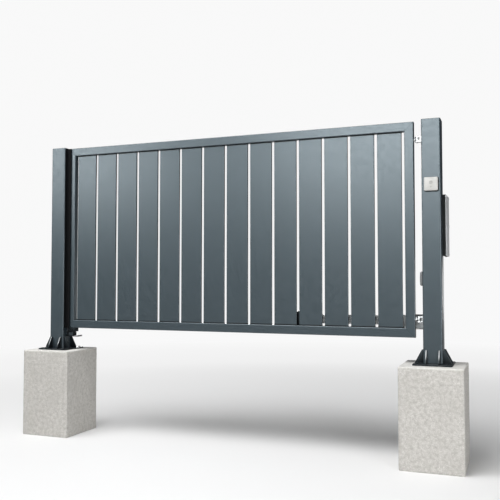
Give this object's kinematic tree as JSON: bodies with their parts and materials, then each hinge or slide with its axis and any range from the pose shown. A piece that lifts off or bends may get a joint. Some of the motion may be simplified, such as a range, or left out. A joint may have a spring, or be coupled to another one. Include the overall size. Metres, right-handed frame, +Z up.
{
  "type": "electric swing gate",
  "caption": "Slatted swing gate leaf hung between square steel posts on concrete footings, opened by a linear screw actuator behind the leaf.",
  "frame": {"origin": "floor level under the middle of the gateway, at the middle of the posts' depth", "axes": "+X along the closed gate from the latch post to the hinge post, +Y to the side the leaf opens to, +Z up"},
  "size_m": [3.221, 0.395, 2.194],
  "materials": {
    "concrete": "matte",
    "post_paint": "satin",
    "leaf_paint": "satin",
    "bracket_paint": "satin",
    "zinc_steel": "satin",
    "white_plastic": "satin",
    "grey_plastic": "matte",
    "black_plastic": "matte",
    "actuator_paint": "satin"
  },
  "bodies": {
    "root": {"hinge_footing": "concrete", "hinge_base_plate": "post_paint", "hinge_post_gussets": "post_paint", "hinge_post": "post_paint", "hinge_post_cap": "post_paint", "latch_footing": "concrete", "latch_base_plate": "post_paint", "latch_post_gussets": "post_paint", "latch_post": "post_paint", "latch_post_cap": "post_paint", "upper_hinge_bracket": "zinc_steel", "upper_hinge_pin": "zinc_steel", "lower_hinge_bracket": "zinc_steel", "lower_hinge_pin": "zinc_steel", "access_reader": "white_plastic", "control_box_base": "black_plastic", "control_box_cover": "grey_plastic", "photocell": "grey_plastic", "actuator_rear_bracket": "bracket_paint", "actuator_rear_pin": "zinc_steel", "lock_keeper": "bracket_paint"},
    "leaf": {"top_rail": "leaf_paint", "bottom_rail": "leaf_paint", "hinge_stile": "leaf_paint", "latch_stile": "leaf_paint", "slat_01": "leaf_paint", "slat_02": "leaf_paint", "slat_03": "leaf_paint", "slat_04": "leaf_paint", "slat_05": "leaf_paint", "slat_06": "leaf_paint", "slat_07": "leaf_paint", "slat_08": "leaf_paint", "slat_09": "leaf_paint", "slat_10": "leaf_paint", "slat_11": "leaf_paint", "slat_12": "leaf_paint", "slat_13": "leaf_paint", "slat_14": "leaf_paint", "upper_hinge_eye_bolt": "zinc_steel", "lower_hinge_eye_bolt": "zinc_steel", "upper_hinge_nut": "zinc_steel", "lower_hinge_nut": "zinc_steel", "actuator_front_bracket": "bracket_paint", "actuator_front_pin": "zinc_steel", "lock_case": "bracket_paint"},
    "actuator": {"actuator_housing": "actuator_paint", "actuator_profile": "actuator_paint", "actuator_end_cap": "black_plastic"},
    "carriage": {"actuator_carriage": "bracket_paint"}
  },
  "joints": [
    {"name": "leaf_swing", "type": "hinge", "parent": "root", "child": "leaf", "pos_m": [1.322, 0, 0], "axis": [0, 0, -1], "range_deg": [0, 90]},
    {"name": "actuator_pivot", "type": "hinge", "parent": "root", "child": "actuator", "pos_m": [1.397, 0.12, 0.902], "axis": [0, 0, -1], "range_deg": [0, 93]},
    {"name": "carriage_slide", "type": "slide", "parent": "actuator", "child": "carriage", "axis": [0.9984, 0.0559, 0], "range_m": [0, 0.197]}
  ],
  "couplings": [
    {"joint": "actuator_pivot", "follows": "leaf_swing", "ratio": 1.031},
    {"joint": "carriage_slide", "follows": "leaf_swing", "m_per_rad": 0.12502}
  ]
}
